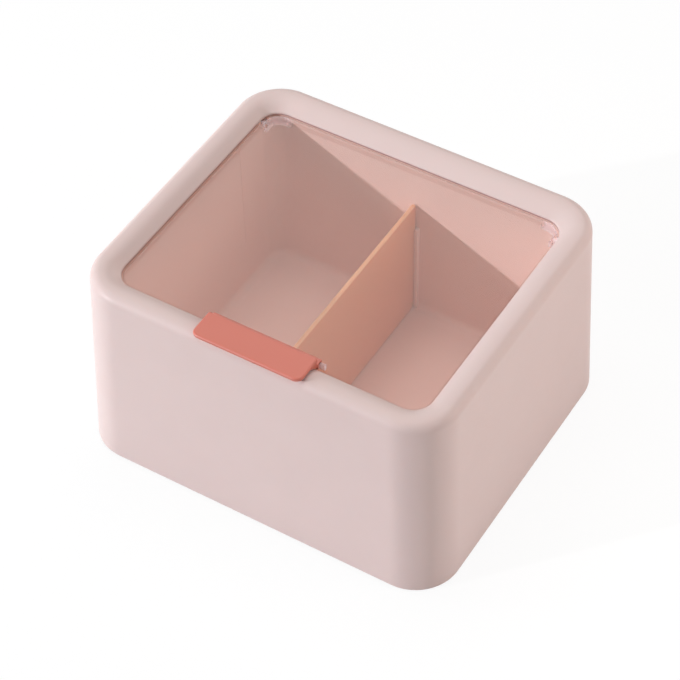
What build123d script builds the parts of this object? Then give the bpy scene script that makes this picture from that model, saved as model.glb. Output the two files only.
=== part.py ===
"""Cosmetic organizer box with a clear hinged lid and two compartments.

Millimetres, +Z up. The origin is on the table, under the middle of the box.
The front, where the lid's handle is, faces -Y, and the hinge is at the back.
"""

from build123d import *

import os
from math import radians, tan

# Body, outside
rim_width = 150.0  # side to side, across the top
rim_depth = 130.0  # front to back, across the top
body_height = 86.5  # table to the crest of the rim
wall_flare = 3.0  # how far each wall leans out on its way down
corner_radius = 18.0  # upright corners
rim_round = 3.75  # outer edge of the rim
crest_land = 3.45  # flat strip along the crest, before the rim slopes in
crest_blend = 8.0  # rolls the crest over into the slope
foot_edge_round = 0.8  # bottom edge of the walls
foot_stand = 0.8  # walls clear the table by this much
shell_wall = 2.2
rim_thickness = 3.4  # crest down to the underside of the rim

# Rim, inside
rim_side = 10.9  # width of the rim at the sides and the front
rim_back = 12.6  # width of the rim at the back, over the hinge
lip_drop = 3.1  # crest down to the top of the inner lip
lip_round = 1.2
lip_width = 3.2
opening_corner = 8.0

# Inner tray
tray_top_drop = 4.2  # crest down to the tray's top edge
lip_joint = 0.1  # joint between the lip and the tray
tray_wall = 2.0
tray_floor = 2.0
tray_draft = 0.5  # degrees
tray_floor_round = 3.0
tray_foot_round = 2.0
rib_height = 2.6  # ribs of the base that carry the tray
guide_width = 1.4  # ribs that hold the divider upright
guide_reach = 1.6
guide_top_drop = 35.0  # crest down to the tops of the guides

# Divider
divider_thickness = 1.8
divider_top_drop = 23.0  # crest down to the divider's top edge
divider_side_gap = 0.15
divider_end_gap = 0.3
divider_foot_gap = 0.2
divider_edge_round = 0.6
divider_foot_corner = 4.0

# Base
base_thickness = 2.0
base_recess = 0.6  # base sits this far up inside the walls
base_gap = 0.3
base_rib_width = 1.6
base_rib_spacing = 34.0
base_rib_gap = 0.1
hook_width = 12.0
hook_thickness = 1.6
hook_height = 11.0
hook_nose = 1.1
nose_height = 2.2
hook_spacing = 80.0
catch_height = 1.6
catch_reach = 1.5
catch_play = 0.3

# Feet
foot_radius = 5.0
foot_inset = 21.0  # foot centre from the outside of the walls
foot_pocket = 0.6
foot_pocket_gap = 0.2
foot_round = 0.3

# Lid
lid_thickness = 2.0
lid_drop = 3.75  # crest down to the lid's top face
lid_gap = 0.4
lid_edge_round = 0.8  # upper edge
hinge_setback = 6.0  # hinge axis, ahead of the opening's back edge
skirt_thickness = 1.2  # walls under the lid's back corners, which carry the pins
skirt_depth = 2.2
skirt_length = 8.0  # along the lid's back
skirt_front = 2.4  # front end, ahead of the hinge axis
pin_radius = 1.5
pin_play = 0.06
pin_reach = 1.7  # pin's tip, past the line of the tray's inner wall
pin_chamfer = 0.4
notch_width = 1.4  # lid's corners are notched around the pins
notch_length = 3.8  # notch's front, ahead of the hinge axis

# Handle
handle_length = 45.1
handle_width = 12.4
handle_thickness = 2.0
handle_lift = 0.3  # underside above the crest
handle_front_overhang = 0.9  # past the front of the rim
handle_front_corner = 3.0
handle_back_corner = 1.0
handle_edge_round = 0.7
stem_thickness = 2.8
stem_front_gap = 0.5
stem_end_inset = 0.25  # stem's ends, inside the handle's ends
stem_shoulder_drop = 0.9  # crest down to the step behind the handle
neck_inset = 0.5  # back of the neck, ahead of the handle's back edge
web_lift = 0.8  # web above the lip at the opening
web_reach = 4.4  # web's front, ahead of the handle's back edge
lid_rib_thickness = 1.2
lid_rib_height = 2.2
lid_rib_stick_out = 2.3  # rib's ends, past the stem's ends
rib_slot_gap = 0.05

# Places worked out from the sizes above
crest_z = body_height
lip_z = crest_z - lip_drop
tray_top_z = crest_z - tray_top_drop
lip_bottom_z = tray_top_z + lip_joint
roof_z = crest_z - rim_thickness
base_z = foot_stand + base_recess
base_top_z = base_z + base_thickness
tray_bottom_z = base_top_z + rib_height
floor_z = tray_bottom_z + tray_floor

opening_width = rim_width - 2 * rim_side
opening_front = -rim_depth / 2 + rim_side
opening_back = rim_depth / 2 - rim_back
opening_depth = opening_back - opening_front
opening_y = (opening_front + opening_back) / 2

lid_z = crest_z - lid_drop
lid_bottom_z = lid_z - lid_thickness
catch_z = base_top_z + hook_height - nose_height - catch_play - catch_height
catch_root = catch_reach + shell_wall / 2
hinge_y = opening_back - hinge_setback
hinge_z = lid_bottom_z

handle_bottom_z = crest_z + handle_lift
handle_front = -rim_depth / 2 - handle_front_overhang
handle_back = handle_front + handle_width
handle_y = (handle_front + handle_back) / 2
stem_front = opening_front + stem_front_gap
stem_back = stem_front + stem_thickness
stem_y = (stem_front + stem_back) / 2
stem_length = handle_length - 2 * stem_end_inset


def outside(top_half, z):
    """Outer face of a leaning wall, from the middle of the box, at height z."""
    return top_half + wall_flare * (crest_z - z) / (crest_z - foot_stand)


def inside(top_half, z):
    """Inner face of the same wall at height z."""
    return outside(top_half, z) - shell_wall


def draft_inset(z):
    """How far the tray's walls have drawn in at height z."""
    return (tray_top_z - z) * tan(radians(tray_draft))


def save(piece, label):
    """Name a finished piece and write it."""
    piece.part.label = label
    export_step(piece.part, f"parts/{label}.step")


os.makedirs("parts", exist_ok=True)

# Hollow of the shell, cut out of it below
with BuildPart() as shell_hollow:
    with BuildSketch(Plane.XY.offset(0)):
        Rectangle(2 * inside(rim_width / 2, 0), 2 * inside(rim_depth / 2, 0))
    with BuildSketch(Plane.XY.offset(roof_z)):
        Rectangle(2 * inside(rim_width / 2, roof_z), 2 * inside(rim_depth / 2, roof_z))
    loft()
    fillet(shell_hollow.edges().filter_by(Plane.XY, reverse=True), corner_radius - shell_wall)
    fillet(shell_hollow.faces().sort_by(Axis.Z)[-1].edges(), rim_round / 2)

# Outer shell: leaning walls and the rim, open below
with BuildPart() as outer_shell:
    with BuildSketch(Plane.XY.offset(foot_stand)):
        Rectangle(2 * outside(rim_width / 2, foot_stand), 2 * outside(rim_depth / 2, foot_stand))
    with BuildSketch(Plane.XY.offset(crest_z)):
        Rectangle(rim_width, rim_depth)
    loft()
    fillet(outer_shell.edges().filter_by(Plane.XY, reverse=True), corner_radius)
    fillet(outer_shell.faces().sort_by(Axis.Z)[-1].edges(), rim_round)
    fillet(outer_shell.faces().sort_by(Axis.Z)[0].edges(), foot_edge_round)
    add(shell_hollow.part, mode=Mode.SUBTRACT)
    # the inner lip hangs down from the rim to meet the tray
    with BuildSketch(Plane.XY.offset(lip_bottom_z)):
        with Locations((0, opening_y)):
            RectangleRounded(
                opening_width + 2 * lip_width, opening_depth + 2 * lip_width, opening_corner + lip_width
            )
    extrude(until=Until.NEXT)
    with BuildSketch(Plane.XY.offset(lip_bottom_z - lip_joint)):
        with Locations((0, opening_y)):
            RectangleRounded(opening_width, opening_depth, opening_corner)
    extrude(amount=tray_top_drop, mode=Mode.SUBTRACT)
    # the rim slopes in from the crest to the lip
    crest_inset = rim_round + crest_land
    with BuildSketch(Plane.XY.offset(lip_z)):
        with Locations((0, opening_y)):
            RectangleRounded(opening_width, opening_depth, opening_corner)
    with BuildSketch(Plane.XY.offset(crest_z)):
        RectangleRounded(
            rim_width - 2 * crest_inset, rim_depth - 2 * crest_inset, corner_radius - crest_inset
        )
    loft(mode=Mode.SUBTRACT)
    crest_edges = outer_shell.faces().sort_by(Axis.Z)[-1].inner_wires()[0].edges()
    fillet(crest_edges, crest_blend)
    lip_edges = outer_shell.edges().filter_by_position(Axis.Z, lip_z - 0.01, lip_z + 0.01)
    fillet(lip_edges, lip_round)
    # catches that the hooks of the base snap over, front and back
    catch_y = inside(rim_depth / 2, catch_z) - catch_reach + catch_root / 2
    with BuildSketch(Plane.XY.offset(catch_z)):
        with GridLocations(hook_spacing, 2 * catch_y, 2, 2):
            Rectangle(hook_width, catch_root)
    extrude(amount=catch_height)
save(outer_shell, "outer_shell")

# Inner tray: walls and floor, open slots for the lid's pins, guides for the divider
tray_rim_plane = Plane(origin=(0, opening_y, tray_top_z), x_dir=(1, 0, 0), z_dir=(0, 0, -1))
with BuildPart() as inner_tray:
    with BuildSketch(tray_rim_plane):
        RectangleRounded(
            opening_width + 2 * tray_wall, opening_depth + 2 * tray_wall, opening_corner + tray_wall
        )
    extrude(amount=tray_top_z - tray_bottom_z, taper=tray_draft)
    fillet(inner_tray.faces().sort_by(Axis.Z)[0].edges(), tray_foot_round)
    with BuildSketch(tray_rim_plane):
        RectangleRounded(opening_width, opening_depth, opening_corner)
    extrude(amount=tray_top_z - floor_z, taper=tray_draft, mode=Mode.SUBTRACT)
    floor_edges = inner_tray.edges().filter_by_position(Axis.Z, floor_z - 0.01, floor_z + 0.01)
    fillet(floor_edges, tray_floor_round)
    with BuildSketch(Plane.YZ):
        with Locations((hinge_y, hinge_z)):
            Circle(pin_radius + pin_play)
            Rectangle(
                2 * (pin_radius + pin_play), 2 * tray_top_drop, align=(Align.CENTER, Align.MIN)
            )
    extrude(amount=rim_width / 2, both=True, mode=Mode.SUBTRACT)
    # guides hold the divider's two ends
    guide_x = divider_thickness / 2 + divider_side_gap + guide_width / 2
    guide_root = guide_reach + draft_inset(floor_z)
    for x in (-guide_x, guide_x):
        with BuildSketch(Plane.XY.offset(floor_z)):
            with Locations((x, opening_front + guide_root / 2), (x, opening_back - guide_root / 2)):
                Rectangle(guide_width, guide_root)
        extrude(amount=crest_z - guide_top_drop - floor_z)
save(inner_tray, "inner_tray")

# Divider: a loose upright panel that follows the tray's draft
divider_top_z = crest_z - divider_top_drop
divider_foot_z = floor_z + divider_foot_gap
divider_corners = [
    (opening_front + draft_inset(z) + divider_end_gap, z) for z in (divider_top_z, divider_foot_z)
] + [(opening_back - draft_inset(z) - divider_end_gap, z) for z in (divider_foot_z, divider_top_z)]
with BuildPart() as divider:
    with BuildSketch(Plane.YZ):
        with BuildLine():
            Polyline(divider_corners, close=True)
        make_face()
    extrude(amount=divider_thickness / 2, both=True)
    foot_corners = divider.edges().filter_by(Axis.X).sort_by(Axis.Z)[:2]
    fillet(foot_corners, divider_foot_corner)
    fillet(divider.faces().sort_by(Axis.Z)[-1].edges(), divider_edge_round)
save(divider, "divider")

# Base: a plate that closes the shell, with ribs under the tray and four hooks
foot_x = outside(rim_width / 2, foot_stand) - foot_inset
foot_y = outside(rim_depth / 2, foot_stand) - foot_inset
hook_face_y = -inside(rim_depth / 2, catch_z) + catch_reach + catch_play
hook_top_z = base_top_z + hook_height
with BuildPart() as base_plate:
    with BuildSketch(Plane.XY.offset(base_z)):
        RectangleRounded(
            2 * (inside(rim_width / 2, base_top_z) - base_gap),
            2 * (inside(rim_depth / 2, base_top_z) - base_gap),
            corner_radius - shell_wall - base_gap,
        )
    extrude(amount=base_thickness)
    with BuildSketch(Plane.XY.offset(base_top_z)):
        with GridLocations(base_rib_spacing, 0, 3, 1):
            Rectangle(base_rib_width, opening_depth - 4 * tray_foot_round)
        with GridLocations(0, base_rib_spacing, 1, 3):
            Rectangle(opening_width - 4 * tray_foot_round, base_rib_width)
    extrude(amount=rib_height - base_rib_gap)
    for x in (-hook_spacing / 2, hook_spacing / 2):
        with BuildSketch(Plane.YZ.offset(x - hook_width / 2)):
            with BuildLine():
                Polyline(
                    (hook_face_y, base_top_z),
                    (hook_face_y, hook_top_z - nose_height),
                    (hook_face_y - hook_nose, hook_top_z - nose_height),
                    (hook_face_y, hook_top_z),
                    (hook_face_y + hook_thickness, hook_top_z),
                    (hook_face_y + hook_thickness, base_top_z),
                    close=True,
                )
            make_face()
        extrude(amount=hook_width)
    mirror(about=Plane.XZ)
    with BuildSketch(Plane.XY.offset(base_z)):
        with GridLocations(2 * foot_x, 2 * foot_y, 2, 2):
            Circle(foot_radius + foot_pocket_gap)
    extrude(amount=foot_pocket, mode=Mode.SUBTRACT)
save(base_plate, "base_plate")

# Feet: round pads stuck into the pockets of the base
for front_back, side_y in (("front", -1), ("rear", 1)):
    for left_right, side_x in (("left", -1), ("right", 1)):
        with BuildPart() as foot:
            with BuildSketch(Plane.XY):
                with Locations((side_x * foot_x, side_y * foot_y)):
                    Circle(foot_radius)
            extrude(amount=base_z + foot_pocket)
            fillet(foot.faces().sort_by(Axis.Z)[0].edges(), foot_round)
        save(foot, f"foot_{front_back}_{left_right}")

# Lid behind its hinge axis: its outline turned about the axis, so that it clears the corners
lid_width = opening_width - 2 * lid_gap
lid_depth = opening_depth - 2 * lid_gap
lid_corner = opening_corner - lid_gap
skirt_end = lid_width / 2 - notch_width
with BuildPart() as lid_tail:
    with BuildSketch(Plane.XY.offset(hinge_z)):
        with Locations((0, opening_y)):
            RectangleRounded(lid_width, lid_depth, lid_corner)
        with Locations((0, hinge_y)):
            Rectangle(2 * skirt_end, lid_depth, align=(Align.CENTER, Align.MIN), mode=Mode.INTERSECT)
    revolve(axis=Axis((0, hinge_y, hinge_z), (1, 0, 0)), revolution_arc=90)
    with BuildSketch(Plane.XY.offset(hinge_z)):
        with Locations((0, hinge_y)):
            Rectangle(lid_width, 4 * hinge_setback)
    extrude(amount=lid_thickness, mode=Mode.INTERSECT)
    tail_edges = lid_tail.faces().filter_by(Plane.XY).sort_by(Axis.Z)[-1].edges()
    fillet(tail_edges.sort_by(Axis.Y)[-3:], lid_edge_round)

# Lid: a clear plate with pins on skirts at its back corners, and a rib that the handle grips
with BuildPart() as lid:
    with BuildSketch(Plane.XY.offset(lid_bottom_z)):
        with Locations((0, opening_y)):
            RectangleRounded(lid_width, lid_depth, lid_corner)
        with Locations((0, hinge_y)):
            Rectangle(lid_width, lid_depth, align=(Align.CENTER, Align.MIN), mode=Mode.SUBTRACT)
        with Locations((-lid_width / 2, hinge_y), (lid_width / 2, hinge_y)):
            Rectangle(2 * notch_width, 2 * notch_length, mode=Mode.SUBTRACT)
    extrude(amount=lid_thickness)
    rim_edges = lid.faces().filter_by(Plane.XY).sort_by(Axis.Z)[-1].edges().filter_by_position(
        Axis.Y, -rim_depth, hinge_y - notch_length, inclusive=(True, False)
    )
    fillet(rim_edges, lid_edge_round)
    add(lid_tail.part)
    with BuildSketch(Plane.XY.offset(lid_bottom_z - skirt_depth)):
        with Locations((0, opening_y)):
            RectangleRounded(lid_width, lid_depth, lid_corner)
            Rectangle(2 * skirt_end, lid_depth, mode=Mode.INTERSECT)
        offset(amount=-skirt_thickness, mode=Mode.SUBTRACT)
        with Locations((skirt_end, hinge_y - skirt_front)):
            Rectangle(2 * skirt_length, lid_depth, align=(Align.CENTER, Align.MIN), mode=Mode.INTERSECT)
    extrude(amount=skirt_depth)
    with BuildSketch(Plane.YZ.offset(skirt_end)):
        with Locations((hinge_y, hinge_z)):
            Circle(pin_radius)
    extrude(amount=opening_width / 2 + pin_reach - skirt_end)
    chamfer(lid.faces().sort_by(Axis.X)[-1].edges(), pin_chamfer)
    mirror(about=Plane.YZ)
    with BuildSketch(Plane.XY.offset(lid_z)):
        with Locations((0, stem_y)):
            Rectangle(stem_length + 2 * lid_rib_stick_out, lid_rib_thickness)
    extrude(amount=lid_rib_height)
save(lid, "lid")

# Handle: a flat tab over the rim, on a stem that grips the lid's rib
with BuildPart() as lid_handle:
    with BuildSketch(Plane.XY.offset(handle_bottom_z)) as plate:
        with Locations((0, handle_y)):
            Rectangle(handle_length, handle_width)
        fillet(plate.vertices().group_by(Axis.Y)[0], handle_front_corner)
        fillet(plate.vertices().group_by(Axis.Y)[-1], handle_back_corner)
    extrude(amount=handle_thickness)
    fillet(lid_handle.faces().sort_by(Axis.Z)[-1].edges(), handle_edge_round)
    with BuildSketch(Plane.YZ.offset(-stem_length / 2)):
        with BuildLine():
            Polyline(
                (stem_front, lid_z),
                (stem_back, lid_z),
                (stem_back, crest_z - stem_shoulder_drop),
                (handle_back - neck_inset, crest_z - stem_shoulder_drop),
                (handle_back - neck_inset, handle_bottom_z + handle_thickness / 2),
                (handle_back - web_reach, handle_bottom_z + handle_thickness / 2),
                (handle_back - web_reach, handle_bottom_z),
                (stem_front, lip_z + web_lift),
                close=True,
            )
        make_face()
    extrude(amount=stem_length)
    with BuildSketch(Plane.XY.offset(lid_z)):
        with Locations((0, stem_y)):
            Rectangle(stem_length, lid_rib_thickness + 2 * rib_slot_gap)
    extrude(amount=lid_rib_height + rib_slot_gap, mode=Mode.SUBTRACT)
save(lid_handle, "lid_handle")
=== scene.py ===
"""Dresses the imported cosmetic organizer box: pink moulded body and tray, clear lid, coral handle.

Metres, +Z up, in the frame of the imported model. The front, with the handle, faces -Y.
"""

from math import asin, cos, pi, radians, sin, tan

import bmesh
import bpy
from bpy.props import FloatProperty, FloatVectorProperty, PointerProperty
from mathutils import Matrix, Vector


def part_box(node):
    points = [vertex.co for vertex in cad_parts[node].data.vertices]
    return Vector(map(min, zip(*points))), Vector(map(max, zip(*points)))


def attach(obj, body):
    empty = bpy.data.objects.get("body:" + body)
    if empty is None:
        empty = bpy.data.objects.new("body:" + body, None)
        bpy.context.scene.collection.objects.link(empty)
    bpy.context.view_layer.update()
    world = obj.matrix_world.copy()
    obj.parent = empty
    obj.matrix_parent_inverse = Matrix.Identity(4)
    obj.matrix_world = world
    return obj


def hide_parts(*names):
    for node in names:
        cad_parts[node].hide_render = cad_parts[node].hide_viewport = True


bl_info = {
    "name": "Organizer Box",
    "version": (1, 0, 0),
    "blender": (4, 5, 0),
    "location": "View3D > Sidebar > Organizer",
    "description": "Builds the pieces of a cosmetic organizer box on its packed frame",
    "category": "Object",
}

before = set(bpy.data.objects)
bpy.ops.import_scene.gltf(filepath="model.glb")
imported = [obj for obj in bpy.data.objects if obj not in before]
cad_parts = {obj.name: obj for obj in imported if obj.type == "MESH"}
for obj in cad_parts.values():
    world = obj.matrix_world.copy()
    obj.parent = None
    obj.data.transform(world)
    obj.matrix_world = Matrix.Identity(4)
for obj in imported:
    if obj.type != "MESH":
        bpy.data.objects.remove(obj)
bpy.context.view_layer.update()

MM = 0.001

# Heights of the rim's crest and of the body's lower edge
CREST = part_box("outer_shell")[1].z
FOOT_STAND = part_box("outer_shell")[0].z

# Steps round an edge, an upright corner, a divider's corner, the bottom of a slot and a foot
EDGE_STEPS = 8
CORNER_STEPS = 20
DIVIDER_STEPS = 10
SLOT_STEPS = 16
FOOT_STEPS = 48

# A flat is held this far from its edges, or for this share of it where it is short
HOLD = 0.4 * MM
HOLD_SHARE = 0.3

# Edges that turn by more degrees than this are sharp
SHARP = 35

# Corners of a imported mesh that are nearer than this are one
WELD = 0.002 * MM

# How far a cutting shape stands out of the piece it cuts
CUT_REACH = MM

# The flat faces of the handle start this share of a back corner inside its outline
FLAT_SHARE = 0.9


def length(label, words, default):
    """A size property in metres, with its default given in millimetres."""
    return FloatProperty(name=label, description=words, default=default * MM, unit="LENGTH", precision=4)


def angle(label, words, default):
    """An angle property, with its default given in degrees."""
    return FloatProperty(name=label, description=words, default=radians(default), subtype="ANGLE")


def number(label, words, default, unit="NONE"):
    """A property that is a plain number."""
    return FloatProperty(name=label, description=words, default=default, unit=unit, precision=4)


def light_colour(label, words, default):
    """A colour property, with its default as light values from 0 to 1."""
    return FloatVectorProperty(
        name=label, description=words, default=default, subtype="COLOR", size=3, min=0, max=1
    )


def colour(label, words, default):
    """A colour property, with its default as display values from 0 to 255."""
    return light_colour(label, words, [to_linear(value / 255) for value in default])


def to_linear(value):
    """Display value to the light value that shaders work in, by the sRGB formula."""
    if value <= 0.04045:
        return value / 12.92
    return ((value + 0.055) / 1.055) ** 2.4


class BodySizes(bpy.types.PropertyGroup):
    """Sizes of the outer body and its rim"""

    rim_width: length("Rim width", "Rim, side to side", 150)
    rim_depth: length("Rim depth", "Rim, front to back", 130)
    flare: length("Flare", "How far each wall leans out on its way down", 3)
    corner: length("Corner radius", "Radius of the upright corners", 18)
    rim_round: length("Rim rounding", "Radius of the rim's outer edge", 3.75)
    crest_land: length("Crest land", "Flat strip on the crest of the rim", 3.45)
    crest_blend: length("Crest blend", "Radius between the crest and the slope", 8)
    foot_edge_round: length("Bottom edge", "Radius of the walls' bottom edge", 0.8)
    wall: length("Wall", "Thickness of the outer walls", 2.2)
    rim_thickness: length("Rim thickness", "Crest down to the rim's underside", 3.4)
    rim_side: length("Rim at the sides", "Width of the rim at the sides and front", 10.9)
    rim_back: length("Rim at the back", "Width of the rim at the back", 12.6)
    lip_drop: length("Lip drop", "Crest down to the top of the inner lip", 3.1)
    lip_round: length("Lip rounding", "Radius of the lip's edge", 1.2)
    lip_width: length("Lip width", "Width of the lip's underside", 3.2)
    opening_corner: length("Opening corner", "Radius of the opening's corners", 8)


class TraySizes(bpy.types.PropertyGroup):
    """Sizes of the inner tray, its guides and its creases"""

    top_drop: length("Top drop", "Crest down to the tray's top edge", 4.2)
    top_gap: length("Top gap", "Gap between the tray's top edge and the rim's lip", 0.1)
    wall: length("Wall", "Thickness of the tray's walls", 2)
    draft: angle("Draft", "Lean of the tray's walls", 0.5)
    floor_round: length("Floor rounding", "Radius where the walls meet the floor", 3)
    floor_thickness: length("Floor", "Thickness of the tray's floor", 2)
    foot_round: length("Outer rounding", "Radius of the tray's bottom edge", 2)
    guide_width: length("Guide width", "Width of the ribs that hold the divider", 1.4)
    guide_reach: length("Guide reach", "How far the ribs stand into the tray", 1.6)
    guide_drop: length("Guide drop", "Crest down to the tops of the ribs", 35)
    guide_round: length("Guide edges", "Radius of the ribs' edges", 0.2)
    divider_gap: length("Divider gap", "Play between divider and ribs", 0.15)
    crease_y: length("Crease", "Place of the upright crease in the side walls", 29.2)
    crease_width: length("Crease width", "Width of the crease", 0.3)
    crease_depth: length("Crease depth", "Depth of the crease", 0.12)
    crease_end: length("Crease end", "Height of the crease's lower end", 30)


class DividerSizes(bpy.types.PropertyGroup):
    """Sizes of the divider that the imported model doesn't give"""

    corner: length("Lower corners", "Radius of the lower corners", 4)
    edge_round: length("Edges", "Radius of the edges", 0.5)


class HandleSizes(bpy.types.PropertyGroup):
    """Sizes of the handle's tab and of the stem that joins it to the lid"""

    width: length("Width", "Handle, front to back", 12.4)
    thickness: length("Thickness", "Thickness of the flat tab", 2)
    front_corner: length("Front corner", "Radius of the tab's front corners", 3)
    back_corner: length("Back corner", "Radius of the tab's back corners", 1)
    edge_round: length("Edge", "Radius of the tab's top edge", 0.8)
    under_round: length("Lower edge", "Radius of the tab's lower edge", 1.1)
    stem_inset: length("Stem inset", "Stem's ends, inside the tab's ends", 0.25)
    stem_gap: length("Stem gap", "Stem's front, behind the opening's front edge", 0.5)
    stem_thickness: length("Stem thickness", "Stem, front to back", 2.8)
    shoulder_drop: length("Shoulder drop", "Crest down to the step behind the tab", 0.9)
    neck_inset: length("Neck inset", "Back of the neck, ahead of the tab's back edge", 0.5)
    web_lift: length("Web lift", "Web above the lip", 0.8)
    web_reach: length("Web reach", "Web's front, ahead of the tab's back edge", 4.4)
    stem_round: length("Stem edges", "Radius of the stem's edges", 0.2)


class FootSizes(bpy.types.PropertyGroup):
    """Sizes of a rubber foot"""

    dish: length("Dish", "Depth of the hollow under each foot", 0.25)
    dish_radius: length("Dish radius", "Radius of the hollow", 3.2)
    edge_round: length("Edge", "Radius of the lower edge", 0.3)


class LidSizes(bpy.types.PropertyGroup):
    """Sizes of the lid that the tray and the handle fit"""

    drop: length("Drop", "Crest down to the lid's top face", 3.75)
    thickness: length("Thickness", "Thickness of the clear plate", 2)
    pin_radius: length("Pin radius", "Radius of the hinge pins", 1.5)
    pin_play: length("Pin play", "Play of the pins in their slots", 0.06)
    hinge_setback: length("Hinge setback", "Hinge axis, ahead of the opening's back edge", 6)
    rib_thickness: length("Rib", "Thickness of the rib that the handle grips", 1.2)
    rib_play: length("Rib play", "Play between the rib and the handle", 0.05)


class Finish(bpy.types.PropertyGroup):
    """Colours of the plastics and the rubber"""

    shell: colour("Body", "Pale pink of the body", (218, 197, 193))
    # Partly the tray's own pink, partly painted light: set lighter than the body's pink to stand in for
    # light bounced inside the tray
    tray: colour("Tray", "Pink of the tray", (249, 213, 201))
    # Partly the divider's own pink, partly painted warm shade: more orange than the tray's pink, for the
    # bounced light in the shade between the walls
    divider: colour("Divider", "Warmer pink of the divider", (237, 173, 131))
    handle: colour("Handle", "Coral of the handle", (196, 104, 86))
    feet: colour("Feet", "Grey white of the feet", (214, 208, 204))


class PlasticLook(bpy.types.PropertyGroup):
    """Mottling, grain and painted shade in the seams of the moulded plastics"""

    mottle_scale: number("Mottle scale", "Noise scale of the mottling, per metre", 55)
    mottle: number("Mottle", "Share by which the mottling changes the colour", 0.01)
    mottle_low: number("Mottle low", "Noise value up to which the colour is darkest", 0.3)
    mottle_high: number("Mottle high", "Noise value from which the colour is lightest", 0.7)
    satin_scale: number("Satin scale", "Noise scale of the satin, per metre", 320)
    satin_low: number("Satin low", "Lowest roughness, as a share of the piece's own", 0.92)
    satin_high: number("Satin high", "Highest roughness, as a share of the piece's own", 1.1)
    grain_scale: number("Grain scale", "Noise scale of the fine grain, per metre", 2600)
    grain_strength: number("Grain strength", "Strength of the fine grain", 0.15)
    grain_depth: length("Grain depth", "Depth of the fine grain", 0.012)
    refraction: number("Refraction", "Index of refraction", 1.47)
    scatter_depth: length("Scatter depth", "How deep light goes into the plastic", 2.5)
    scatter_tint: light_colour("Scatter tint", "Depth for red, green and blue, as shares", (1, 0.45, 0.35))
    # Painted shade: these values darken the body's colour in narrow gaps below the crest, where shade falls
    seam_width: length("Seam width", "Gap in which the body looks darker", 1.4)
    seam_open: number("Seam open", "Share of open directions where a seam starts", 0.85)
    seam_closed: number("Seam closed", "Share of open directions where a seam is darkest", 0.45)
    seam_top: length("Seam top", "Crest down to where seams start to darken", 2)
    seam_full: length("Seam full", "Crest down to where seams are darkest", 3)
    seam_shade_tint: light_colour("Seam tint", "What a seam multiplies the colour by", (0.62, 0.38, 0.38))


class ClearLook(bpy.types.PropertyGroup):
    """Gloss, clearness and milky edges of the lid"""

    tint: light_colour("Tint", "Share of light that each face lets through", (0.985, 0.98, 0.98))
    haze_scale: number("Haze scale", "Noise scale of the haze, per metre", 160)
    gloss_low: number("Gloss low", "Lowest roughness of the surface", 0.02)
    gloss_high: number("Gloss high", "Highest roughness of the surface", 0.07)
    mirrored: number("Mirrored", "Share of light mirrored where the lid is seen face on", 0.052)
    falloff: number("Falloff", "Power that holds the mirroring to grazing angles", 5)
    clearness: number("Clearness", "Share of face-on light that the shadow lets through", 0.955)
    flat_normal: number("Flat", "Upward part of the normal above which nothing is milky", 0.98)
    edge_normal: number("Edge", "Upward part of the normal below which edges are milky", 0.75)
    corner_blend: length("Corner blend", "Stretch in which the milky corner starts", 2)
    rib_blend: length("Rib blend", "Stretch in which the milky rib starts above the plate", 0.2)
    pin_blend: length("Pin blend", "Stretch in which the milky corner ends at the pins", 0.1)
    milky_low: number("Milky low", "Milky share of the plain edges", 0.06)
    milky_high: number("Milky high", "Milky share of the edges at the hinge and of the rib", 0.6)
    milky_tint: light_colour("Milky tint", "Colour of the milky edges", (0.93, 0.85, 0.87))
    milky_roughness: number("Milky roughness", "Roughness of the milky edges", 0.85)


class StageSizes(bpy.types.PropertyGroup):
    """Camera, floor and lamps"""

    azimuth: angle("Azimuth", "Camera's turn to the right", 32.0432)
    elevation: angle("Elevation", "Camera's height angle", 47.0764)
    roll: angle("Roll", "Camera's roll", -1.1526)
    distance: length("Distance", "Camera to the point it aims at", 891.7)
    aim_height: length("Aim height", "Height of the point it aims at", 43.28)
    lens: number("Lens", "Focal length", 125.75, unit="CAMERA")
    sensor: number("Sensor", "Width of the sensor", 36, unit="CAMERA")
    shift_x: number("Shift X", "Sideways shift, as a share of the sensor", -0.00663)
    shift_y: number("Shift Y", "Upward shift, as a share of the sensor", -0.02037)
    near_clip: length("Near clip", "Nearest distance that the camera sees", 10)
    floor_half: length("Floor", "Half the width of the floor", 4000)
    floor_tint: light_colour("Floor tint", "Colour of the floor in its own light", (0.86, 0.86, 0.86))
    floor_glow: number("Floor glow", "Brightness of the floor where it is seen", 1.03)
    floor_share: number("Floor share", "Share of that glow, the rest keeps the shadow", 0.88)
    lamp_size: length("Lamp size", "Diameter of the lamps", 300)
    lamp_aim: length("Lamp aim", "Height of the point that the lamps aim at", 60)


class OrganizerSettings(bpy.types.PropertyGroup):
    """All values of the organizer box"""

    body: PointerProperty(type=BodySizes)
    tray: PointerProperty(type=TraySizes)
    divider: PointerProperty(type=DividerSizes)
    lid: PointerProperty(type=LidSizes)
    handle: PointerProperty(type=HandleSizes)
    foot: PointerProperty(type=FootSizes)
    finish: PointerProperty(type=Finish)
    plastic: PointerProperty(type=PlasticLook)
    lid_look: PointerProperty(type=ClearLook)
    stage: PointerProperty(type=StageSizes)


# Rings: rounded rectangles at a height, lofted into walls


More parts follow.
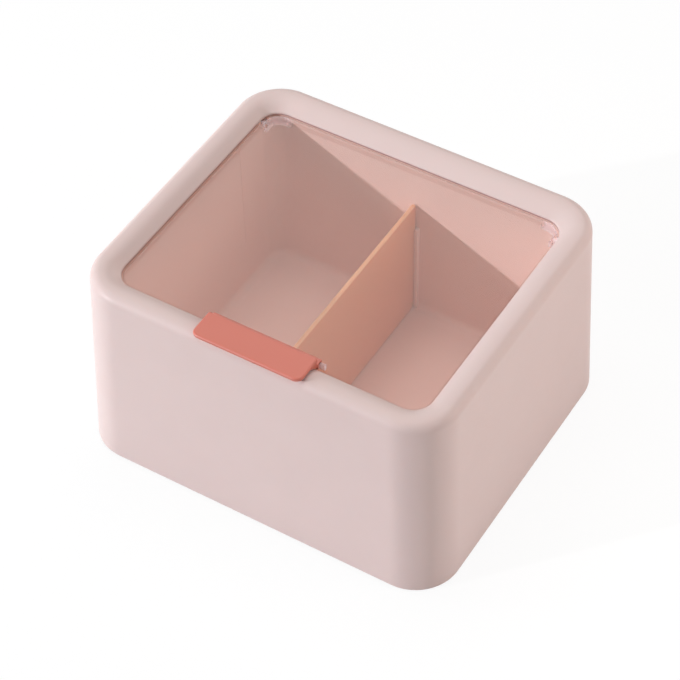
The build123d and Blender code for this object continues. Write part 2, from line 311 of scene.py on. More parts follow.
class Ring:
    """A rounded rectangle at one height, with its own radius at the front and the back corners."""

    def __init__(self, half_width, half_depth, middle_y, front_corner, back_corner, z):
        self.plan = Vector((half_width, half_depth, middle_y, front_corner, back_corner))
        self.z = z

    def inset(self, distance, z):
        """The ring inside this one by a distance, at another height."""
        return Ring(*(self.plan - distance * Vector((1, 1, 0, 1, 1))), z)

    def mix(self, other, share):
        """The ring between this one and another."""
        return Ring(*self.plan.lerp(other.plan, share), self.z + (other.z - self.z) * share)

    def reach_to(self, other):
        """Distance between two rings, measured in the plane of their section."""
        return Vector((self.plan[0] - other.plan[0], self.z - other.z)).length

    def points(self):
        """Corner points in order, with each side held flat near its ends."""
        half_width, half_depth, middle_y, front_corner, back_corner = self.plan
        found = []
        for quarter in range(4):
            start = quarter * pi / 2
            sign_x = 1 if quarter in (0, 3) else -1
            sign_y = 1 if quarter in (0, 1) else -1
            corner = back_corner if quarter in (0, 1) else front_corner
            centre = Vector(
                (sign_x * (half_width - corner), middle_y + sign_y * (half_depth - corner), self.z)
            )
            curve = [
                centre + corner * Vector((cos(turn), sin(turn), 0))
                for turn in turns(start, pi / 2, CORNER_STEPS)
            ]
            before = Vector((sin(start), -cos(start), 0)) * HOLD
            after = Vector((-sin(start + pi / 2), cos(start + pi / 2), 0)) * HOLD
            found += [curve[0] + before] + curve + [curve[-1] + after]
        return found


def turns(start, sweep, steps):
    """Angles along an arc, from its start to its end."""
    return [start + sweep * k / steps for k in range(steps + 1)]


def arc(centre, radius, start, sweep, steps):
    """Points along an arc in a plane, by their two coordinates."""
    return [
        (centre[0] + radius * cos(turn), centre[1] + radius * sin(turn))
        for turn in turns(start, sweep, steps)
    ]


def bend(before, corner, after, radius):
    """Rings round a corner of the section, as an arc of that radius."""
    across_in, up_in = section_step(corner, before)
    across_out, up_out = section_step(corner, after)
    between = max(-1.0, min(1.0, across_in * across_out + up_in * up_out))
    opening = pi / 2 - asin(between)
    setback = radius / tan(opening / 2)
    start = corner.mix(before, setback / corner.reach_to(before))
    end = corner.mix(after, setback / corner.reach_to(after))
    weight = sin(opening / 2)
    rings = []
    for k in range(EDGE_STEPS + 1):
        t = k / EDGE_STEPS
        near, middle, far = (1 - t) ** 2, 2 * t * (1 - t) * weight, t ** 2
        total = near + middle + far
        plan = (start.plan * near + corner.plan * middle + end.plan * far) / total
        z = (start.z * near + corner.z * middle + end.z * far) / total
        rings.append(Ring(*plan, z))
    return rings


def section_step(ring, other):
    """Unit step from one ring to another in the plane of their section."""
    across = other.plan[0] - ring.plan[0]
    up = other.z - ring.z
    size = Vector((across, up)).length
    return across / size, up / size


def section(corners, closed):
    """Rings of a section, given as (ring, edge radius), with its flats held near each corner."""
    bends = []
    count = len(corners)
    for k, (ring, radius) in enumerate(corners):
        before, after = corners[k - 1][0], corners[(k + 1) % count][0]
        if radius:
            bends.append(bend(before, ring, after, radius))
        else:
            bends.append([ring])
    rings = []
    for k, bent in enumerate(bends):
        rings += bent
        if k < count - 1 or closed:
            start, end = bent[-1], bends[(k + 1) % count][0]
            hold = min(HOLD / start.reach_to(end), HOLD_SHARE)
            rings += [start.mix(end, hold), start.mix(end, 1 - hold)]
    return rings


# Meshes


def band(bm, low, high):
    """Faces between two rows of corners that run round; a row may be one corner, repeated."""
    for k in range(len(low)):
        nxt = (k + 1) % len(low)
        bm.faces.new(dict.fromkeys((low[k], low[nxt], high[nxt], high[k])))


def loft(bm, rings, closed):
    """Faces between rings; a closed loft joins its last ring to its first, and any other has flat ends."""
    rows = [[bm.verts.new(point) for point in ring.points()] for ring in rings]
    if closed:
        rows.append(rows[0])
    for low, high in zip(rows, rows[1:]):
        band(bm, low, high)
    if not closed:
        bm.faces.new(reversed(rows[0]))
        bm.faces.new(rows[-1])


def new_mesh(name):
    """An empty object and a bmesh to fill it from."""
    mesh = bpy.data.meshes.new(name)
    piece = bpy.data.objects.new(name, mesh)
    bpy.context.scene.collection.objects.link(piece)
    return piece, bmesh.new()


def finish_mesh(piece, bm):
    """Writes a bmesh to its object, faces outwards, smooth except at sharp edges."""
    bmesh.ops.recalc_face_normals(bm, faces=bm.faces)
    for face in bm.faces:
        face.smooth = True
    for edge in bm.edges:
        if len(edge.link_faces) == 2 and edge.calc_face_angle() > radians(SHARP):
            edge.smooth = False
    bm.to_mesh(piece.data)
    bm.free()


def moulding(name, corners, closed):
    """A piece lofted through the rings of a section."""
    piece, bm = new_mesh(name)
    loft(bm, section(corners, closed), closed)
    finish_mesh(piece, bm)
    return piece


def prism(bm, outline, place):
    """A closed prism between two flat outlines; place(point, side) gives each corner."""
    low = [bm.verts.new(place(point, 0)) for point in outline]
    high = [bm.verts.new(place(point, 1)) for point in outline]
    bm.faces.new(reversed(low))
    bm.faces.new(high)
    band(bm, low, high)


def block(bm, low, high):
    """A closed box between two corners."""
    outline = [(low[0], low[1]), (high[0], low[1]), (high[0], high[1]), (low[0], high[1])]
    prism(bm, outline, lambda point, side: (*point, (low, high)[side][2]))


def turned(bm, profile, steps):
    """A closed solid turned about Z from (radius, height) points that start and end on the axis."""
    rows = []
    for radius, height in profile:
        if radius == 0:
            rows.append([bm.verts.new((0, 0, height))] * steps)
        else:
            circle = arc((0, 0), radius, 0, 2 * pi, steps)[:-1]
            rows.append([bm.verts.new((*point, height)) for point in circle])
    for low, high in zip(rows, rows[1:]):
        band(bm, low, high)


def freeze(piece):
    """Turns the piece's modifiers into a plain mesh."""
    graph = bpy.context.evaluated_depsgraph_get()
    result = bpy.data.meshes.new_from_object(piece.evaluated_get(graph))
    piece.modifiers.clear()
    old = piece.data
    piece.data = result
    result.name = piece.name
    bpy.data.meshes.remove(old)


def combine(piece, fill, operation, rounding=0):
    """Joins to the piece, or cuts from it, what fill puts in a bmesh."""
    tool, bm = new_mesh("tool")
    fill(bm)
    bmesh.ops.recalc_face_normals(bm, faces=bm.faces)
    bm.to_mesh(tool.data)
    bm.free()
    if rounding:
        bevel(tool, rounding)
    modifier = piece.modifiers.new("combine", "BOOLEAN")
    modifier.operation = operation
    modifier.solver = "EXACT"
    modifier.use_self = True
    modifier.object = tool
    freeze(piece)
    bpy.data.objects.remove(tool)


def bevel(piece, width, sharp=SHARP, segments=3):
    """Rounds the piece's sharp edges and keeps its flats flat."""
    modifier = piece.modifiers.new("edges", "BEVEL")
    modifier.width = width
    modifier.segments = segments
    modifier.limit_method = "ANGLE"
    modifier.angle_limit = radians(sharp)
    modifier.harden_normals = True
    freeze(piece)


def shade(piece):
    """Faces outwards, smooth except at sharp edges."""
    bm = bmesh.new()
    bm.from_mesh(piece.data)
    finish_mesh(piece, bm)


def settle(piece, body, material, slot, *nodes):
    """Gives a finished piece its material and its body, and hides the nodes it replaces; the slot is not
    used.
    """
    piece.data.materials.clear()
    piece.data.materials.append(material)
    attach(piece, body)
    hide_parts(*nodes)


# Nodes


def wire(tree, node, inputs):
    """Gives each input its value, or links it to the socket that stands in the value's place."""
    for key, value in inputs.items():
        if isinstance(value, bpy.types.NodeSocket):
            tree.links.new(value, node.inputs[key])
        else:
            node.inputs[key].default_value = value
    return node


def add_node(tree, kind, inputs=None, **settings):
    """A new node with its settings and its inputs."""
    node = tree.nodes.new(kind)
    for key, value in settings.items():
        setattr(node, key, value)
    return wire(tree, node, inputs or {})


def noise(tree, place, scale, detail):
    """Noise from 0 to 1 at a place."""
    values = {"Vector": place, "Scale": scale, "Detail": detail}
    return add_node(tree, "ShaderNodeTexNoise", values).outputs["Fac"]


def map_range(tree, value, start=(0, 1), end=(0, 1)):
    """The value carried from the start's range to the end's, and held inside it."""
    values = {
        "Value": value,
        "From Min": start[0],
        "From Max": start[1],
        "To Min": end[0],
        "To Max": end[1],
    }
    return add_node(tree, "ShaderNodeMapRange", values).outputs["Result"]


def maths(tree, operation, *values):
    """The result of an operation on its values."""
    return add_node(tree, "ShaderNodeMath", dict(enumerate(values)), operation=operation).outputs[0]


def reach(tree, vector, axis, ends, both_ways=False):
    """How far one coordinate, or its size, has come from the first end to the second, 0 to 1."""
    value = add_node(tree, "ShaderNodeSeparateXYZ", {0: vector}).outputs[axis]
    if both_ways:
        value = maths(tree, "ABSOLUTE", value)
    return map_range(tree, value, start=ends)


def mix_shaders(tree, share, first, second):
    """The first shader where the share is 0, the second where it is 1."""
    return add_node(tree, "ShaderNodeMixShader", {0: share, 1: first, 2: second}).outputs["Shader"]


def looking_rays(tree):
    """One where a camera, glossy or transmission ray looks, else zero."""
    ray = add_node(tree, "ShaderNodeLightPath").outputs
    seen = maths(tree, "MAXIMUM", ray["Is Camera Ray"], ray["Is Glossy Ray"])
    return maths(tree, "MAXIMUM", seen, ray["Is Transmission Ray"])


def set_out_nodes():
    """Geometry nodes that set the shape out on the corners of a rectangle."""
    group = bpy.data.node_groups.new("set_out", "GeometryNodeTree")
    kinds = {"Geometry": "Geometry", "Spacing X": "Float", "Spacing Y": "Float", "Material": "Material"}
    for name, kind in kinds.items():
        group.interface.new_socket(name, in_out="INPUT", socket_type="NodeSocket" + kind)
    group.interface.new_socket("Geometry", in_out="OUTPUT", socket_type="NodeSocketGeometry")
    given = add_node(group, "NodeGroupInput").outputs
    grid = add_node(group, "GeometryNodeMeshGrid", {
        "Size X": given["Spacing X"],
        "Size Y": given["Spacing Y"],
        "Vertices X": 2,
        "Vertices Y": 2,
    })
    place = add_node(group, "GeometryNodeInstanceOnPoints", {
        "Points": grid.outputs["Mesh"],
        "Instance": given["Geometry"],
    })
    real = add_node(group, "GeometryNodeRealizeInstances", {"Geometry": place.outputs["Instances"]})
    paint = add_node(group, "GeometryNodeSetMaterial", {
        "Geometry": real.outputs["Geometry"],
        "Material": given["Material"],
    })
    add_node(group, "NodeGroupOutput", {"Geometry": paint.outputs["Geometry"]})
    return group


# Materials


def new_material(name):
    """A material and its node tree."""
    material = bpy.data.materials.new(name)
    material.use_nodes = True
    return material, material.node_tree


def moulded_plastic(name, tint, roughness, shine=0.3, softness=0.1, seam=0):
    """Moulded plastic: faint mottling, a fine satin grain, and painted shade that keeps seams of this width
    dark.
    """
    look = bpy.context.scene.organizer.plastic
    material, tree = new_material(name)
    place = add_node(tree, "ShaderNodeTexCoord").outputs["Object"]

    mottle = noise(tree, place, look.mottle_scale, detail=3)
    tones = add_node(tree, "ShaderNodeValToRGB", {"Fac": mottle})
    darker, lighter = tones.color_ramp.elements
    darker.position = look.mottle_low
    lighter.position = look.mottle_high
    darker.color = [*[part * (1 - look.mottle) for part in tint], 1]
    lighter.color = [*[min(part * (1 + look.mottle), 1) for part in tint], 1]
    paint = tones.outputs["Color"]
    # Painted shade: the colour is darkened in gaps narrower than the seam's width
    if seam:
        paint = paint_seam_shade(tree, place, paint, seam)

    satin = noise(tree, place, look.satin_scale, detail=4)
    gloss = map_range(tree, satin, end=(roughness * look.satin_low, roughness * look.satin_high))
    grain = noise(tree, place, look.grain_scale, detail=2)
    bump = add_node(tree, "ShaderNodeBump", {
        "Strength": look.grain_strength,
        "Distance": look.grain_depth,
        "Height": grain,
    })
    wire(tree, tree.nodes["Principled BSDF"], {
        "Base Color": paint,
        "Roughness": gloss,
        "Normal": bump.outputs["Normal"],
        "IOR": look.refraction,
        "Specular IOR Level": shine,
        "Subsurface Weight": softness,
        "Subsurface Radius": look.scatter_tint,
        "Subsurface Scale": look.scatter_depth,
    })
    return material


def paint_seam_shade(tree, place, paint, seam):
    """Painted shade: the colour, darker below the crest where another surface is nearer than the seam's
    width.
    """
    look = bpy.context.scene.organizer.plastic
    openness = add_node(tree, "ShaderNodeAmbientOcclusion", {"Distance": seam}, samples=8).outputs["AO"]
    closed_in = map_range(tree, openness, start=(look.seam_closed, look.seam_open), end=(1, 0))
    below_crest = reach(tree, place, "Z", (CREST - look.seam_top, CREST - look.seam_full))
    share = maths(tree, "MULTIPLY", closed_in, below_crest)
    values = {"Factor": share, "A": paint, "B": (*look.seam_shade_tint, 1)}
    return add_node(tree, "ShaderNodeMix", values, data_type="RGBA", blend_type="MULTIPLY").outputs["Result"]


def clear_plastic(name, corner, pins):
    """Clear moulded plastic: seen straight through, glossy, and milky on the edges at its hinge.

    The milky edges run from the corner's place to where the pins begin, measured from the middle.
    """
    look = bpy.context.scene.organizer.lid_look
    material, tree = new_material(name)
    tree.nodes.remove(tree.nodes["Principled BSDF"])
    place = add_node(tree, "ShaderNodeTexCoord").outputs

    haze = noise(tree, place["Object"], look.haze_scale, detail=2)
    gloss = map_range(tree, haze, end=(look.gloss_low, look.gloss_high))
    mirror = add_node(tree, "ShaderNodeBsdfGlossy", {"Roughness": gloss}).outputs["BSDF"]
    through = add_node(tree, "ShaderNodeBsdfTransparent", {"Color": (*look.tint, 1)}).outputs["BSDF"]
    slant = add_node(tree, "ShaderNodeLayerWeight", {"Blend": 0.5}).outputs["Facing"]
    grazing = maths(tree, "POWER", slant, look.falloff)
    mirrored = map_range(tree, grazing, end=(look.mirrored, 1))
    surface = mix_shaders(tree, mirrored, through, mirror)

    milky = add_node(tree, "ShaderNodeBsdfGlossy", {
        "Color": (*look.milky_tint, 1),
        "Roughness": look.milky_roughness,
    }).outputs["BSDF"]
    seen = mix_shaders(tree, milky_share(tree, place, corner, pins), surface, milky)

    ray = add_node(tree, "ShaderNodeLightPath").outputs
    soft = maths(tree, "MAXIMUM", ray["Is Shadow Ray"], ray["Is Diffuse Ray"])
    clearness = map_range(tree, grazing, end=(look.clearness, 0))
    passing = add_node(tree, "ShaderNodeBsdfTransparent", {"Color": clearness}).outputs["BSDF"]
    wire(tree, tree.nodes["Material Output"], {"Surface": mix_shaders(tree, soft, seen, passing)})
    return material


def milky_share(tree, place, corner, pins):
    """How milky the lid is: on upright edges, most of all behind the corner's start and on the rib."""
    look = bpy.context.scene.organizer.lid_look
    spot = place["Object"]
    upright = reach(tree, place["Normal"], "Z", (look.flat_normal, look.edge_normal), both_ways=True)
    aside = reach(tree, spot, "X", (corner.x - look.corner_blend, corner.x), both_ways=True)
    behind = reach(tree, spot, "Y", (corner.y - look.corner_blend, corner.y))
    above = reach(tree, spot, "Z", (corner.z, corner.z + look.rib_blend))
    before_pins = reach(tree, spot, "X", (pins + look.pin_blend, pins), both_ways=True)
    in_corner = maths(tree, "MULTIPLY", aside, behind)
    on_plate = maths(tree, "MULTIPLY", in_corner, before_pins)
    most = maths(tree, "MAXIMUM", on_plate, above)
    share = map_range(tree, most, end=(look.milky_low, look.milky_high))
    return maths(tree, "MULTIPLY", upright, share)


def floor_paint(name):
    """White floor that keeps a soft shadow."""
    stage = bpy.context.scene.organizer.stage
    material, tree = new_material(name)
    tree.nodes.remove(tree.nodes["Principled BSDF"])
    matt = add_node(tree, "ShaderNodeBsdfDiffuse", {"Color": (*stage.floor_tint, 1)}).outputs["BSDF"]
    glow = add_node(tree, "ShaderNodeEmission", {"Strength": stage.floor_glow}).outputs["Emission"]
    share = maths(tree, "MULTIPLY", looking_rays(tree), stage.floor_share)
    wire(tree, tree.nodes["Material Output"], {"Surface": mix_shaders(tree, share, matt, glow)})
    return material


# Pieces


def body_rings(body):
    """The outer face's rings at the bottom and the crest, and the opening's at the lip."""
    corners = (body.corner, body.corner)
    bottom = Ring(body.rim_width / 2 + body.flare, body.rim_depth / 2 + body.flare, 0, *corners, FOOT_STAND)
    top = Ring(body.rim_width / 2, body.rim_depth / 2, 0, *corners, CREST)
    return bottom, top, opening_ring(body, CREST - body.lip_drop)


def opening_ring(body, z):
    """The opening's outline at a height."""
    depth = body.rim_depth - body.rim_side - body.rim_back
    return Ring(
        opening_side(body),
        depth / 2,
        (body.rim_side - body.rim_back) / 2,
        body.opening_corner,
        body.opening_corner,
        z,
    )


def opening_side(body):
    """How far the opening reaches to each side."""
    return body.rim_width / 2 - body.rim_side


def opening_front(body):
    """Where the opening ends at the front."""
    return -body.rim_depth / 2 + body.rim_side


def opening_back(body):
    """Where the opening ends at the back."""
    return body.rim_depth / 2 - body.rim_back


def tray_heights(tray):
    """Heights of the tray's underside, floor and top edge."""
    low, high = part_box("inner_tray")
    return low.z, low.z + tray.floor_thickness, high.z


class ORGANIZER_OT_shell(bpy.types.Operator):
    """Outer body: leaning walls and the rounded rim"""

    bl_idname = "organizer.shell"
    bl_label = "Outer shell"

    def execute(self, context):
        settings = context.scene.organizer
        body = settings.body
        bottom, top, lip = body_rings(body)
        crest = top.inset(body.rim_round + body.crest_land, CREST)
        lip_bottom_z = CREST - settings.tray.top_drop + settings.tray.top_gap
        lip_bottom = lip.inset(0, lip_bottom_z)
        lip_outer = lip.inset(-body.lip_width, lip_bottom_z)
        roof_z = CREST - body.rim_thickness
        lip_root = lip_outer.inset(0, roof_z)
        hollow = top.inset(body.wall, CREST)
        hollow_bottom = bottom.inset(body.wall, FOOT_STAND)
        hollow_top = hollow.mix(hollow_bottom, body.rim_thickness / (CREST - FOOT_STAND))
        corners = [
            (bottom, body.foot_edge_round),
            (top, body.rim_round),
            (crest, body.crest_blend),
            (lip, body.lip_round),
            (lip_bottom, 0),
            (lip_outer, 0),
            (lip_root, 0),
            (hollow_top, body.rim_round / 2),
            (hollow_bottom, 0),
        ]
        piece = moulding("outer_shell_moulding", corners, closed=True)
        # Painted shade: the body's colour is darkened in its narrow gaps below the crest
        seam = settings.plastic.seam_width
        plastic = moulded_plastic("body_plastic", settings.finish.shell, roughness=0.4, seam=seam)
        settle(piece, "box", plastic, "shell_plastic", "outer_shell")
        return {"FINISHED"}


class ORGANIZER_OT_tray(bpy.types.Operator):
    """Inner tray: walls, floor, the divider's guides and the pins' slots"""

    bl_idname = "organizer.tray"
    bl_label = "Inner tray"

    def execute(self, context):
        settings = context.scene.organizer
        tray = settings.tray
        bottom_z, floor_z, top_z = tray_heights(tray)
        mouth = opening_ring(settings.body, top_z)
        floor = mouth.inset((top_z - floor_z) * tan(tray.draft), floor_z)
        outer_top = mouth.inset(-tray.wall, top_z)
        outer_bottom = outer_top.inset((top_z - bottom_z) * tan(tray.draft), bottom_z)
        corners = [
            (floor.inset(tray.floor_round * 2, floor_z), 0),
            (floor, tray.floor_round),
            (mouth, 0),
            (outer_top, 0),
            (outer_bottom, tray.foot_round),
            (outer_bottom.inset(tray.foot_round * 2, bottom_z), 0),
        ]
        piece = moulding("inner_tray_moulding", corners, closed=False)
        combine(piece, self.guides, "UNION", rounding=tray.guide_round)
        combine(piece, self.slots, "DIFFERENCE")
        combine(piece, self.creases, "DIFFERENCE")
        shade(piece)
        # The tray's lighter pink is partly painted light bounced inside the tray
        plastic = moulded_plastic("tray_plastic_satin", settings.finish.tray, roughness=0.45)
        settle(piece, "box", plastic, "tray_plastic", "inner_tray")
        return {"FINISHED"}

    def guides(self, bm):
        """Ribs on the front and the back wall, one on each side of the divider."""
        settings = bpy.context.scene.organizer
        body, tray = settings.body, settings.tray
        bottom_z, floor_z, top_z = tray_heights(tray)
        inner_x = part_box("divider")[1].x + tray.divider_gap
        front, back = opening_front(body), opening_back(body)
        drawn_in = (top_z - floor_z) * tan(tray.draft)
        y_ends = (
            (front - tray.wall / 2, front + drawn_in + tray.guide_reach),
            (back - drawn_in - tray.guide_reach, back + tray.wall / 2),
        )
        z_low, z_high = bottom_z + tray.floor_thickness / 2, CREST - tray.guide_drop
        for side in (-1, 1):
            x_low, x_high = sorted((side * inner_x, side * (inner_x + tray.guide_width)))
            for y_low, y_high in y_ends:
                block(bm, (x_low, y_low, z_low), (x_high, y_high, z_high))

    def slots(self, bm):
        """Slots that the lid's pins drop into, round at the bottom and closed at their outer ends."""
        settings = bpy.context.scene.organizer
        body, lid = settings.body, settings.lid
        hinge_y = opening_back(body) - lid.hinge_setback
        hinge_z = CREST - lid.drop - lid.thickness
        radius = lid.pin_radius + lid.pin_play
        inner_end = body.rim_width / 3
        outer_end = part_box("lid")[1].x + lid.pin_play
        outline = arc((hinge_y, hinge_z), radius, pi, pi, SLOT_STEPS)
        outline += [(hinge_y + radius, CREST), (hinge_y - radius, CREST)]
        for side in (-1, 1):
            x_ends = sorted((side * inner_end, side * outer_end))
            prism(bm, outline, lambda point, end: (x_ends[end], *point))

    def creases(self, bm):
        """A shallow upright groove in each side wall."""
        settings = bpy.context.scene.organizer
        body, tray = settings.body, settings.tray
        top_z = tray_heights(tray)[2]
        y_ends = (tray.crease_y, tray.crease_y + tray.crease_width)
        for side in (-1, 1):
            wall = side * opening_side(body)
            lean = -side * (top_z - tray.crease_end) * tan(tray.draft)
            outline = [
                (wall - side * CUT_REACH, CREST),
                (wall + side * tray.crease_depth, top_z),
                (wall + lean + side * tray.crease_depth, tray.crease_end),
                (wall + lean - side * CUT_REACH, tray.crease_end),
            ]
            prism(bm, outline, lambda point, end: (point[0], y_ends[end], point[1]))


class ORGANIZER_OT_divider(bpy.types.Operator):
    """Divider: an upright panel with rounded edges"""

    bl_idname = "organizer.divider"
    bl_label = "Divider"

    def execute(self, context):
        settings = context.scene.organizer
        low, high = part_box("divider")
        lean = (high.z - low.z) * tan(settings.tray.draft)
        radius = settings.divider.corner
        outline = [(high.y, high.z), (low.y, high.z)]
        for centre_y, start in ((low.y + lean + radius, pi), (high.y - lean - radius, 3 * pi / 2)):
            outline += arc((centre_y, low.z + radius), radius, start, pi / 2, DIVIDER_STEPS)
        piece, bm = new_mesh("divider_panel")
        prism(bm, outline, lambda point, side: ((low.x, high.x)[side], *point))
        finish_mesh(piece, bm)
        bevel(piece, settings.divider.edge_round, sharp=40, segments=4)
        # The divider's more orange tint is partly painted warm shade
        plastic = moulded_plastic("divider_plastic", settings.finish.divider, roughness=0.42, softness=0.3)
        settle(piece, "divider", plastic, "tray_plastic", "divider")
        return {"FINISHED"}


class ORGANIZER_OT_lid(bpy.types.Operator):
    """Clear lid: plate, hinge pins on short walls under its back corners, and the handle's rib"""

    bl_idname = "organizer.lid"
    bl_label = "Clear lid"

    def execute(self, context):
        settings = context.scene.organizer
        body = settings.body
        piece, bm = new_mesh("clear_lid")
        bm.from_mesh(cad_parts["lid"].data)
        bmesh.ops.remove_doubles(bm, verts=bm.verts, dist=WELD)
        finish_mesh(piece, bm)
        corner_start = Vector((
            opening_side(body) - body.opening_corner,
            opening_back(body) - body.opening_corner,
            CREST - settings.lid.drop,
        ))
        plastic = clear_plastic("clear_plastic_lid", corner_start, opening_side(body))
        settle(piece, "lid", plastic, "clear_plastic", "lid")
        return {"FINISHED"}


class ORGANIZER_OT_handle(bpy.types.Operator):
    """Coral handle over the front of the rim"""

    bl_idname = "organizer.handle"
    bl_label = "Handle"

    def execute(self, context):
        settings = context.scene.organizer
        handle = settings.handle
        low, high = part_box("lid_handle")
        under_z = high.z - handle.thickness
        middle_y = low.y + handle.width / 2
        plan = (high.x, handle.width / 2, middle_y, handle.front_corner, handle.back_corner)
        under, top = Ring(*plan, under_z), Ring(*plan, high.z)
        flat_inset = FLAT_SHARE * handle.back_corner
        corners = [
            (under.inset(flat_inset, under_z), 0),
            (under, handle.under_round),
            (top, handle.edge_round),
            (top.inset(flat_inset, high.z), 0),
        ]
        piece = moulding("coral_handle", corners, closed=False)
        combine(piece, self.stem, "UNION", rounding=handle.stem_round)
        combine(piece, self.rib_slot, "DIFFERENCE")
        shade(piece)
        plastic = moulded_plastic("coral_plastic", settings.finish.handle, roughness=0.4, shine=0.95)
        settle(piece, "lid", plastic, "handle_plastic", "lid_handle")
        return {"FINISHED"}

    def stem_ends(self, settings):
        """The stem's front and back face."""
        front = opening_front(settings.body) + settings.handle.stem_gap
        return front, front + settings.handle.stem_thickness

    def stem(self, bm):
        """Stem on the lid's front edge, with the neck and the web that carry the tab."""
        settings = bpy.context.scene.organizer
        body, lid, handle = settings.body, settings.lid, settings.handle
        low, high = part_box("lid_handle")
        front, back = self.stem_ends(settings)
        tab_back = low.y + handle.width
        neck = tab_back - handle.neck_inset
        web = tab_back - handle.web_reach
        lid_z = CREST - lid.drop
        shoulder_z = CREST - handle.shoulder_drop
        under_z = high.z - handle.thickness
        root_z = under_z + handle.thickness / 2
        outline = [
            (front, lid_z),
            (back, lid_z),
            (back, shoulder_z),
            (neck, shoulder_z),
            (neck, root_z),
            (web, root_z),
            (web, under_z),
            (front, CREST - body.lip_drop + handle.web_lift),
        ]
        side_x = high.x - handle.stem_inset
        prism(bm, outline, lambda point, end: ((-side_x, side_x)[end], *point))

    def rib_slot(self, bm):
        """Slot under the stem for the lid's rib."""
        settings = bpy.context.scene.organizer
        lid = settings.lid
        side_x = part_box("lid_handle")[1].x
        front, back = self.stem_ends(settings)
        middle = (front + back) / 2
        half = lid.rib_thickness / 2 + lid.rib_play
        z_low, z_high = CREST - lid.drop - CUT_REACH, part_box("lid")[1].z + lid.rib_play
        block(bm, (-side_x, middle - half, z_low), (side_x, middle + half, z_high))


class ORGANIZER_OT_base(bpy.types.Operator):
    """Base plate, in its own plastic"""

    bl_idname = "organizer.base"
    bl_label = "Base plate"

    def execute(self, context):
        tint = context.scene.organizer.finish.shell
        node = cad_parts["base_plate"]
        node.data.materials.clear()
        node.data.materials.append(moulded_plastic("base_plastic_satin", tint, roughness=0.5))
        return {"FINISHED"}


class ORGANIZER_OT_feet(bpy.types.Operator):
    """Four dished rubber feet, one shape set out on a grid"""

    bl_idname = "organizer.feet"
    bl_label = "Feet"

    def execute(self, context):
        settings = context.scene.organizer
        foot = settings.foot
        low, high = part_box("foot_rear_right")
        radius, edge = (high.x - low.x) / 2, foot.edge_round
        profile = [(0, foot.dish), (foot.dish_radius, foot.dish), (foot.dish_radius + foot.dish, 0)]
        profile += arc((radius - edge, edge), edge, -pi / 2, pi / 2, EDGE_STEPS)
        profile += [(radius, high.z), (0, high.z)]
        piece, bm = new_mesh("rubber_feet")
        turned(bm, profile, FOOT_STEPS)
        finish_mesh(piece, bm)
        rubber = moulded_plastic("foot_rubber_soft", settings.finish.feet, roughness=0.7)
        modifier = piece.modifiers.new("set out", "NODES")
        modifier.node_group = set_out_nodes()
        # The feet stand on both sides of the middle, so one foot's place is half the spacing
        values = {"Spacing X": high.x + low.x, "Spacing Y": high.y + low.y, "Material": rubber}
        for socket in modifier.node_group.interface.items_tree:
            if socket.name in values:
                modifier[socket.identifier] = values[socket.name]
        freeze(piece)
        names = [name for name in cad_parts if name.startswith("foot_")]
        settle(piece, "box", rubber, "foot_rubber", *names)
        return {"FINISHED"}


# Stage

# Name, direction it shines from, spread in degrees, strength and colour
SUNS = (
    ("key", (-0.640, -0.7095, 0.2945), 1.6, 2.16, (0.97, 0.95, 1)),
    ("fill_right", (1, 0, 0.35), 70, 0.37, (1, 0.80, 0.78)),
    ("fill_back", (0, 0.7, 0.75), 70, 0.87, (1, 0.90, 0.855)),
    ("fill_front", (-0.55, -0.6, 0.8), 70, 0.30, (1, 1, 1)),
)
# Name, place in metres, power in watts and colour
LAMPS = (
    ("lamp_left", (-0.50, -0.22, 0.22), 1.143, (0.835, 0.978, 1)),
    ("lamp_right", (0.5, 0.1, 0.2), 0.80, (1, 0.83, 0.76)),
    ("lamp_top", (-0.1, 0.05, 0.6), 0.83, (1, 1, 0.995)),
    ("lamp_upper", (0.36, -0.05, 0.42), 0.29, (0.74, 1, 1)),
)


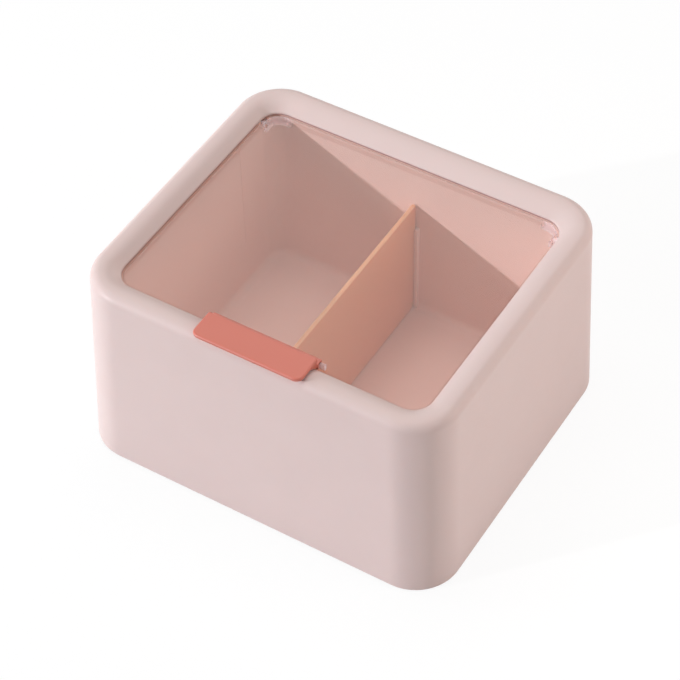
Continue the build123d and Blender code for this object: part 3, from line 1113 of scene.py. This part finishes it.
class ORGANIZER_OT_stage(bpy.types.Operator):
    """Floor, light and camera"""

    bl_idname = "organizer.stage"
    bl_label = "Stage"

    def execute(self, context):
        stage = context.scene.organizer.stage
        floor, bm = new_mesh("floor")
        for x, y in ((-1, -1), (1, -1), (1, 1), (-1, 1)):
            bm.verts.new((x * stage.floor_half, y * stage.floor_half, 0))
        bm.faces.new(bm.verts)
        finish_mesh(floor, bm)
        floor.data.materials.append(floor_paint("floor_white"))
        self.surroundings(context)
        self.lamps(context, stage)
        self.camera(context, stage)
        context.scene.view_settings.view_transform = "Standard"
        return {"FINISHED"}

    def surroundings(self, context):
        """White for the rays that look, and no light on the object."""
        world = bpy.data.worlds.new("studio")
        context.scene.world = world
        world.use_nodes = True
        tree = world.node_tree
        wire(tree, tree.nodes["Background"], {"Color": (1, 1, 1, 1), "Strength": looking_rays(tree)})

    def lamps(self, context, stage):
        """The suns, and near lamps that are hidden from reflections."""
        for name, towards, spread, strength, tone in SUNS:
            sun = bpy.data.lights.new(name, "SUN")
            sun.angle = radians(spread)
            self.place_lamp(context, sun, strength, tone, Vector(towards), Vector())
        target = Vector((0, 0, stage.lamp_aim))
        for name, place, strength, tone in LAMPS:
            disk = bpy.data.lights.new(name, "AREA")
            disk.shape = "DISK"
            disk.size = stage.lamp_size
            lamp = self.place_lamp(context, disk, strength, tone, Vector(place), target)
            lamp.visible_glossy = False

    def place_lamp(self, context, light, strength, tone, place, target):
        """Puts a light at a place and turns it to its target."""
        light.energy = strength
        light.color = tone
        lamp = bpy.data.objects.new(light.name, light)
        context.scene.collection.objects.link(lamp)
        lamp.location = place
        lamp.rotation_euler = (target - place).to_track_quat("-Z", "Y").to_euler()
        return lamp

    def camera(self, context, stage):
        """A camera turned round the object, rolled a little and shifted."""
        turn, rise, roll = stage.azimuth, stage.elevation, stage.roll
        back = Vector((sin(turn) * cos(rise), -cos(turn) * cos(rise), sin(rise)))
        right = Vector((cos(turn), sin(turn), 0))
        up = back.cross(right)
        rolled_right = cos(roll) * right + sin(roll) * up
        rolled_up = -sin(roll) * right + cos(roll) * up
        data = bpy.data.cameras.new("camera")
        data.sensor_width = stage.sensor
        data.lens = stage.lens
        data.shift_x = stage.shift_x
        data.shift_y = stage.shift_y
        data.clip_start = stage.near_clip
        camera = bpy.data.objects.new("camera", data)
        context.scene.collection.objects.link(camera)
        place = Vector((0, 0, stage.aim_height)) + back * stage.distance
        axes = Matrix((rolled_right, rolled_up, back)).transposed().to_4x4()
        camera.matrix_world = Matrix.Translation(place) @ axes
        context.scene.camera = camera


class ORGANIZER_PT_panel(bpy.types.Panel):
    """All values and the operators that make the pieces"""

    bl_label = "Organizer Box"
    bl_space_type = "VIEW_3D"
    bl_region_type = "UI"
    bl_category = "Organizer"

    def draw(self, context):
        settings = context.scene.organizer
        for name in own_values(settings):
            group = getattr(settings, name)
            box = self.layout.box()
            for value in own_values(group):
                box.prop(group, value)
        for operator in OPERATORS:
            self.layout.operator(operator.bl_idname)


def own_values(group):
    """Names of the values that a group adds to what every group has."""
    names = [value.identifier for value in group.bl_rna.properties]
    return [name for name in names if name not in ("rna_type", "name")]


OPERATORS = (
    ORGANIZER_OT_shell,
    ORGANIZER_OT_tray,
    ORGANIZER_OT_divider,
    ORGANIZER_OT_lid,
    ORGANIZER_OT_handle,
    ORGANIZER_OT_base,
    ORGANIZER_OT_feet,
    ORGANIZER_OT_stage,
)
GROUPS = (
    BodySizes,
    TraySizes,
    DividerSizes,
    LidSizes,
    HandleSizes,
    FootSizes,
    Finish,
    PlasticLook,
    ClearLook,
    StageSizes,
    OrganizerSettings,
)


def register():
    """Makes the classes and the settings known to Blender."""
    for each in (*GROUPS, *OPERATORS, ORGANIZER_PT_panel):
        bpy.utils.register_class(each)
    bpy.types.Scene.organizer = PointerProperty(type=OrganizerSettings)


def unregister():
    """Takes the settings and the classes out again."""
    del bpy.types.Scene.organizer
    for each in reversed((*GROUPS, *OPERATORS, ORGANIZER_PT_panel)):
        bpy.utils.unregister_class(each)


def main():
    """Makes all the pieces and the stage."""
    register()
    for operator in OPERATORS:
        group, name = operator.bl_idname.split(".")
        getattr(getattr(bpy.ops, group), name)()


if __name__ == "__main__":
    main()
